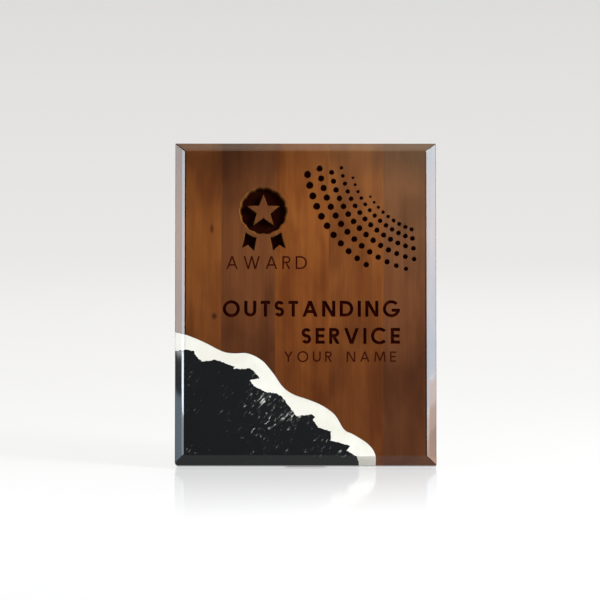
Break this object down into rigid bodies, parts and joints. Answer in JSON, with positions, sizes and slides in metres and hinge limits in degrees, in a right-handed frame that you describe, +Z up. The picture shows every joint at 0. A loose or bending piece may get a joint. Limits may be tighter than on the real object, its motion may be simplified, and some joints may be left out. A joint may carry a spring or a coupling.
{
  "type": "wooden plaque",
  "caption": "Bevelled wooden award plaque with a cast resin corner and an engraved face, standing on a folding back strut or hung from a keyhole plate.",
  "frame": {"origin": "on the table, under the middle of the plaque as it stands on its open strut", "axes": "+X to the right as the face is read, +Y behind the face, towards the strut's foot, +Z up; the board leans back 10 degrees"},
  "size_m": [0.204, 0.072, 0.2515],
  "materials": {
    "walnut": "walnut stain under clear gloss lacquer",
    "white_resin": "cast ivory-white epoxy, polished",
    "black_resin": "cast black epoxy with pale flecks, polished",
    "bright_steel": "bright nickel plate",
    "black_steel": "satin black enamel",
    "rubber": "matt dark grey moulded rubber"
  },
  "bodies": {
    "plaque": {"stave_1": "walnut", "stave_2": "walnut", "stave_3": "walnut", "stave_4": "walnut", "stave_5": "walnut", "white_resin_pour": "white_resin", "black_resin_pour": "black_resin", "keyhole_plate": "bright_steel", "keyhole_screw_1": "bright_steel", "keyhole_screw_2": "bright_steel", "hinge_leaf": "black_steel", "hinge_pin": "bright_steel", "hinge_screw_1": "bright_steel", "hinge_screw_2": "bright_steel", "hinge_screw_3": "bright_steel", "hinge_screw_4": "bright_steel", "bumper_bottom_left": "rubber", "bumper_bottom_right": "rubber", "bumper_top_left": "rubber", "bumper_top_right": "rubber"},
    "strut": {"strut_leg": "black_steel", "strut_boot": "rubber"}
  },
  "joints": [
    {"name": "strut_hinge", "type": "hinge", "parent": "plaque", "child": "strut", "pos_m": [0, 0.01091, 0.14715], "axis": [-1, 0, 0], "range_deg": [0, 18]}
  ]
}
